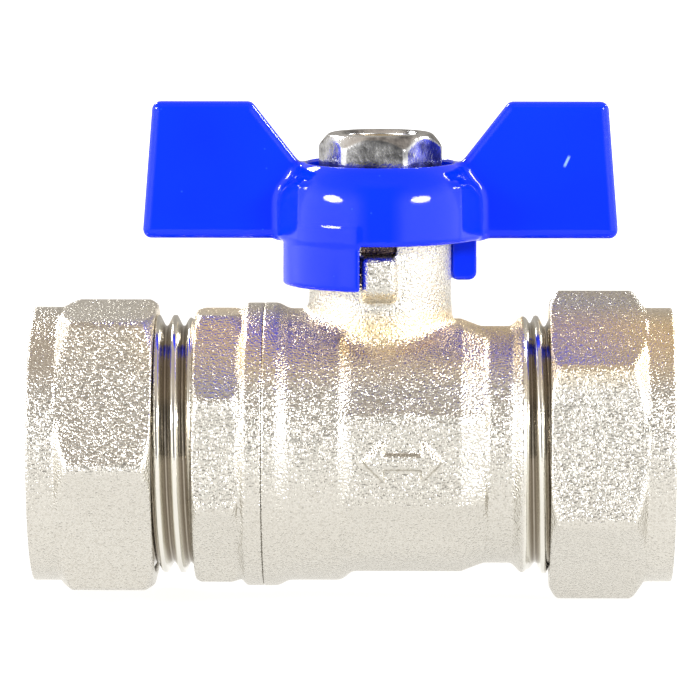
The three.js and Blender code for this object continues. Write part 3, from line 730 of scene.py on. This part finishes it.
def zinc_steel():
    m, nt, b = mat("zinc_steel")
    co = coords(nt)
    big = noise(nt, co, 260, 4.0, 0.62)
    fine = noise(nt, co, 1500, 3.0, 0.6)
    col = mix_rgb(nt, ramp(nt, big, [(0.4, grey(0)), (0.62, grey(1))]), (0.15, 0.15, 0.155), (0.68, 0.68, 0.68))
    nt.links.new(col, b.inputs["Base Color"])
    nt.links.new(ramp(nt, big, [(0.35, grey(0.1)), (0.65, grey(0.24))]), b.inputs["Roughness"])
    h = math_node(nt, "ADD", math_node(nt, "MULTIPLY", big, 0.9), math_node(nt, "MULTIPLY", fine, 0.25))
    nt.links.new(bump(nt, h, 0.5, 0.0003), b.inputs["Normal"])
    b.inputs["Metallic"].default_value = 0.95
    return m


def turned_metal(name, c0, c1, rough0, rough1, axis="x"):
    """Machined metal with fine turning lines round its axis."""
    m, nt, b = mat(name)
    co = coords(nt)
    s = nt.nodes.new("ShaderNodeMapping")
    s.inputs["Scale"].default_value = (1, 0.02, 0.02) if axis == "x" else (0.02, 0.02, 1)
    nt.links.new(co, s.inputs[0])
    lines = noise(nt, s.outputs[0], 5200, 2.0, 0.6)
    tone = noise(nt, co, 180, 3.0, 0.55)
    col = mix_rgb(nt, tone, c0, c1)
    col = mix_rgb(nt, ramp(nt, lines, [(0.4, grey(0)), (0.7, grey(0.3))]), col, tuple(v * 0.7 for v in c0))
    nt.links.new(col, b.inputs["Base Color"])
    nt.links.new(ramp(nt, lines, [(0.3, grey(rough0)), (0.7, grey(rough1))]), b.inputs["Roughness"])
    nt.links.new(bump(nt, lines, 0.25, 0.00003), b.inputs["Normal"])
    b.inputs["Metallic"].default_value = 1.0
    return m


def polymer(name, c0, c1, rough, scale=900, strength=0.15, sss=0.0):
    m, nt, b = mat(name)
    co = coords(nt)
    fine = noise(nt, co, scale, 3.0, 0.6)
    tone = noise(nt, co, 140, 2.0, 0.5)
    nt.links.new(mix_rgb(nt, tone, c0, c1), b.inputs["Base Color"])
    nt.links.new(ramp(nt, fine, [(0.3, grey(rough - 0.08)), (0.7, grey(rough + 0.08))]), b.inputs["Roughness"])
    nt.links.new(bump(nt, fine, strength, 0.00005), b.inputs["Normal"])
    return m


M_BODY = blasted_nickel("nickel_body", [(16.5, 26.5)])
M_CON = blasted_nickel("nickel_connector", [(-33, -21.45), (-13.2, -8)])
M_NUT = blasted_nickel("nickel_nut")
M_BLUE = blue_coat()
M_ZINC = zinc_steel()
M_STEM = turned_metal("stem_brass", (0.66, 0.52, 0.30), (0.74, 0.60, 0.36), 0.22, 0.4, "z")
M_GLAND = turned_metal("gland_brass", (0.70, 0.53, 0.25), (0.80, 0.62, 0.32), 0.2, 0.36, "z")
M_OLIVE = turned_metal("olive_brass", (0.76, 0.57, 0.27), (0.84, 0.66, 0.34), 0.16, 0.32, "x")
M_BALL = turned_metal("ball_chrome", (0.80, 0.80, 0.80), (0.86, 0.86, 0.86), 0.04, 0.1, "x")
M_PTFE = polymer("white_ptfe", (0.80, 0.79, 0.74), (0.88, 0.87, 0.83), 0.42, 700, 0.2)
M_NBR = polymer("black_rubber", (0.012, 0.012, 0.013), (0.025, 0.025, 0.027), 0.5, 1400, 0.25)

# ------------------------------------------------------------------ build the pieces
FINE = 1.0


def theta_body():
    a = np.radians(np.concatenate([np.arange(-38, 38, 0.8 * FINE), np.arange(38, 322, 1.15 * FINE)]))
    return a


build("body_casting", "valve_body", "valve", valve_body, "x",
      graded((-14.2, -10, 0.22 * FINE), (-10, 16, 0.25 * FINE), (16, 26.6, 0.17 * FINE)),
      graded((7.9, 17.2, 0.22 * FINE), (17.2, 27.4, 0.3 * FINE)), theta_body(), M_BODY)
build("connector_casting", "end_connector", "valve", end_connector, "x",
      graded((-32.4, -21.6, 0.17 * FINE), (-21.6, -13.2, 0.17 * FINE), (-13.2, -7.8, 0.3 * FINE)), even(8.0, 17.3, 0.2 * FINE), ring(int(300 / FINE)), M_CON)
for side, face, top, a0, tag in ((-1, -40.12, LEFT_TOP_X, math.radians(2.2), "left"), (1, 33.8, RIGHT_TOP_X, math.radians(22.9), "right")):
    lo, hi = (face - 0.4, face + 14.6) if side < 0 else (face - 14.6, face + 0.4)
    build(f"coupling_nut_{tag}", f"compression_nut_{tag}", f"nut_{tag}", compression_nut(side, face, top, a0), "x",
          even(lo, hi, 0.18 * FINE), even(10.8, 18.6, 0.19 * FINE), ring(int(300 / FINE)), M_NUT)
    ol = [(side_u, r) for side_u, r in ((2.3, 11.12), (2.3, 11.4), (4.5, 12.75), (6.6, 12.75), (8.8, 11.4), (8.8, 11.12))]
    olive_pts = [(face - side * u, r) for u, r in ol]
    xs = [q[0] for q in olive_pts]
    build(f"brass_olive_{tag}", f"olive_{tag}", f"olive_{tag}", turned(olive_pts, 0.1), "x",
          even(min(xs) - 0.4, max(xs) + 0.4, 0.2), even(10.7, 13.1, 0.12), ring(140), M_OLIVE)
    s_lo, s_hi = (-10.8, -5.9) if side < 0 else (5.9, 10.8)
    build(f"ptfe_seat_{tag}", f"seat_{tag}", "valve", seat_piece(side), "x", even(s_lo, s_hi, 0.2), even(8.3, 12.2, 0.2), ring(140), M_PTFE)
build("joint_seal_ring", "body_joint_seal", "valve", turned([(-8.1, 12.98), (-8.1, 13.9), (-7.6, 13.9), (-7.6, 12.98)], 0.12), "x",
      even(-8.4, -7.3, 0.1), even(12.7, 14.2, 0.1), ring(140), M_NBR)
build("chromed_ball", "ball", "ball", ball_piece, "x", even(-10.2, 10.2, 0.3 * FINE), even(7.6, 13.0, 0.25 * FINE), ring(200), M_BALL)

turned.kind = "z"
build("butterfly_handle", "handle", "handle_and_stem", handle_piece, "c",
      graded((-28.3, -12.0, 0.28 * FINE), (-12.0, 12.0, 0.22 * FINE), (12.0, 28.3, 0.28 * FINE)), graded((-12.0, -2.6, 0.24 * FINE), (-2.6, 2.6, 0.17 * FINE), (2.6, 12.0, 0.24 * FINE)),
      graded((18.5, 33.4, 0.2 * FINE), (33.4, 40.5, 0.28 * FINE)), M_BLUE)
build("stem_nut", "handle_nut", "handle_and_stem", handle_nut, "z", even(29.9, 36.7, 0.11 * FINE), even(3.7, 7.6, 0.11 * FINE), ring(int(260 / FINE)), M_ZINC)
build("spindle", "stem", "handle_and_stem", stem_piece, "c", even(-6.4, 6.4, 0.2), even(-6.4, 6.4, 0.2), even(9.2, 36.4, 0.2), M_STEM)
build("thrust_ring", "stem_thrust_washer", "valve", turned([(14.5, 4.95), (15.25, 4.95), (15.25, 6.15), (14.5, 6.15)], 0.12), "z",
      even(14.2, 15.6, 0.1), even(4.6, 6.5, 0.1), ring(90), M_PTFE)
for tag, z0 in (("lower", 16.75), ("upper", 18.85)):
    build(f"stem_seal_{tag}", f"stem_o_ring_{tag}", "handle_and_stem", lambda p, z0=z0: np.sqrt((p.rho - 4.32) ** 2 + (p.z - z0) ** 2) - 0.48, "z",
          even(z0 - 0.8, z0 + 0.8, 0.1), even(3.5, 5.1, 0.1), ring(90), M_NBR)
build("packing_ring", "stem_packing", "valve", turned([(20.6, 4.97), (22.7, 4.97), (23.1, 5.6), (22.7, 6.2), (20.6, 6.2)], 0.12), "z",
      even(20.3, 23.4, 0.13), even(4.6, 6.6, 0.1), ring(90), M_PTFE)
build("packing_gland", "gland_nut", "valve", gland_piece, "z", even(23.0, 27.5, 0.14), even(4.6, 7.7, 0.12), ring(140), M_GLAND)

# ------------------------------------------------------------------ studio
lo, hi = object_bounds()
FLOOR = lo.z - 0.0002


def plane(name, size, loc, rot=(0, 0, 0)):
    w, h = size[0] / 2, size[1] / 2
    me = bpy.data.meshes.new(name)
    me.from_pydata([(-w, -h, 0), (w, -h, 0), (w, h, 0), (-w, h, 0)], [], [(0, 1, 2, 3)])
    o = bpy.data.objects.new(name, me)
    o.location, o.rotation_euler = loc, rot
    bpy.context.scene.collection.objects.link(o)
    return o


floor = plane("floor", (0.60, 0.62), (0, 0.07, FLOOR))
m, nt, b = mat("floor_paint")
b.inputs["Roughness"].default_value = 0.9
b.inputs["Specular IOR Level"].default_value = 0.1
fc = noise(nt, coords(nt), 3, 2, 0.5)
nt.links.new(mix_rgb(nt, fc, (0.12, 0.119, 0.116), (0.14, 0.139, 0.136)), b.inputs["Base Color"])
b.inputs["Emission Color"].default_value = (1.0, 0.99, 0.965, 1)
b.inputs["Emission Strength"].default_value = 0.95
floor.data.materials.append(m)

world = bpy.data.worlds.new("studio")
bpy.context.scene.world = world
world.use_nodes = True
nt = world.node_tree
nt.nodes.clear()
out = nt.nodes.new("ShaderNodeOutputWorld")
tc = nt.nodes.new("ShaderNodeTexCoord")
sep = nt.nodes.new("ShaderNodeSeparateXYZ")
nt.links.new(tc.outputs["Generated"], sep.inputs[0])
zz = math_node(nt, "ADD", math_node(nt, "MULTIPLY", sep.outputs[2], 0.5), 0.5)
yy = math_node(nt, "ADD", math_node(nt, "MULTIPLY", sep.outputs[1], 0.5), 0.5)
around = ramp(nt, zz, [(0.0, (0.9, 0.88, 0.84)), (0.45, (2.15, 2.14, 2.11)), (0.66, (2.15, 2.12, 2.08)), (0.80, (0.84, 0.78, 0.71)), (0.90, (0.66, 0.58, 0.50)), (1.0, (0.52, 0.45, 0.39))])
ax = math_node(nt, "ABSOLUTE", sep.outputs[0])
strip = math_node(nt, "MULTIPLY", ramp(nt, ax, [(0.22, grey(1)), (0.36, grey(0.7)), (0.50, grey(0.15)), (0.62, grey(0))]), ramp(nt, yy, [(0.42, grey(1)), (0.5, grey(0))]))
front = math_node(nt, "MULTIPLY", strip, ramp(nt, zz, [(0.84, grey(1)), (0.91, grey(0))]))
rear = math_node(nt, "MULTIPLY", ramp(nt, yy, [(0.70, grey(0)), (0.92, grey(1))]), 0.95)
around = mix_rgb(nt, rear, around, (0.38, 0.35, 0.31))
col = mix_rgb(nt, front, around, (0.28, 0.275, 0.265))
bg = nt.nodes.new("ShaderNodeBackground")
nt.links.new(col, bg.inputs[0])
bg.inputs[1].default_value = 1.0
white = nt.nodes.new("ShaderNodeBackground")
white.inputs[0].default_value = (1, 1, 1, 1)
white.inputs[1].default_value = 1.6
lp = nt.nodes.new("ShaderNodeLightPath")
mx = nt.nodes.new("ShaderNodeMixShader")
nt.links.new(lp.outputs["Is Camera Ray"], mx.inputs[0])
nt.links.new(bg.outputs[0], mx.inputs[1])
nt.links.new(white.outputs[0], mx.inputs[2])
nt.links.new(mx.outputs[0], out.inputs[0])


def area(name, az, el, dist, size, power, colour=(1, 1, 1), aim=(0, 0, 0.012)):
    """A softbox at azimuth az (0 is the viewer's side, positive towards +X) and elevation el."""
    a, e = math.radians(az), math.radians(el)
    d = Vector((math.sin(a) * math.cos(e), -math.cos(a) * math.cos(e), math.sin(e)))
    L = bpy.data.lights.new(name, "AREA")
    L.shape = "ELLIPSE"
    L.size, L.size_y = size
    L.energy = power
    L.color = colour
    o = bpy.data.objects.new(name, L)
    o.location = Vector(aim) + d * dist
    o.rotation_euler = (-d).to_track_quat("-Z", "Y").to_euler()
    o.visible_camera = False
    bpy.context.scene.collection.objects.link(o)
    return o


area("softbox_front_left", -60, 22, 0.55, (0.24, 0.085), 2.4)
area("softbox_front_right", 52, 23, 0.55, (0.24, 0.085), 2.4)
area("softbox_back_left", -144, 34, 0.6, (0.165, 0.15), 2.0)
area("softbox_back_right", 124, 34, 0.6, (0.165, 0.15), 2.0)

# ------------------------------------------------------------------ camera
AZ, EL, DIST = 0.95, 7.0, 0.62
TARGET = Vector((-0.0035, 0, 0.0110))
a, e = math.radians(AZ), math.radians(EL)
back = Vector((math.sin(a) * math.cos(e), -math.cos(a) * math.cos(e), math.sin(e)))
cam_data = bpy.data.cameras.new("camera")
cam = bpy.data.objects.new("camera", cam_data)
bpy.context.scene.collection.objects.link(cam)
cam.location = TARGET + back * DIST
cam.rotation_mode = "QUATERNION"
cam.rotation_quaternion = (-back).to_track_quat("-Z", "Y")
cam_data.sensor_width = 36
cam_data.lens = 36 / (700 * 0.116e-3) * DIST
cam_data.clip_start, cam_data.clip_end = 0.01, 20
bpy.context.scene.camera = cam

bpy.context.scene.view_settings.view_transform = "Standard"
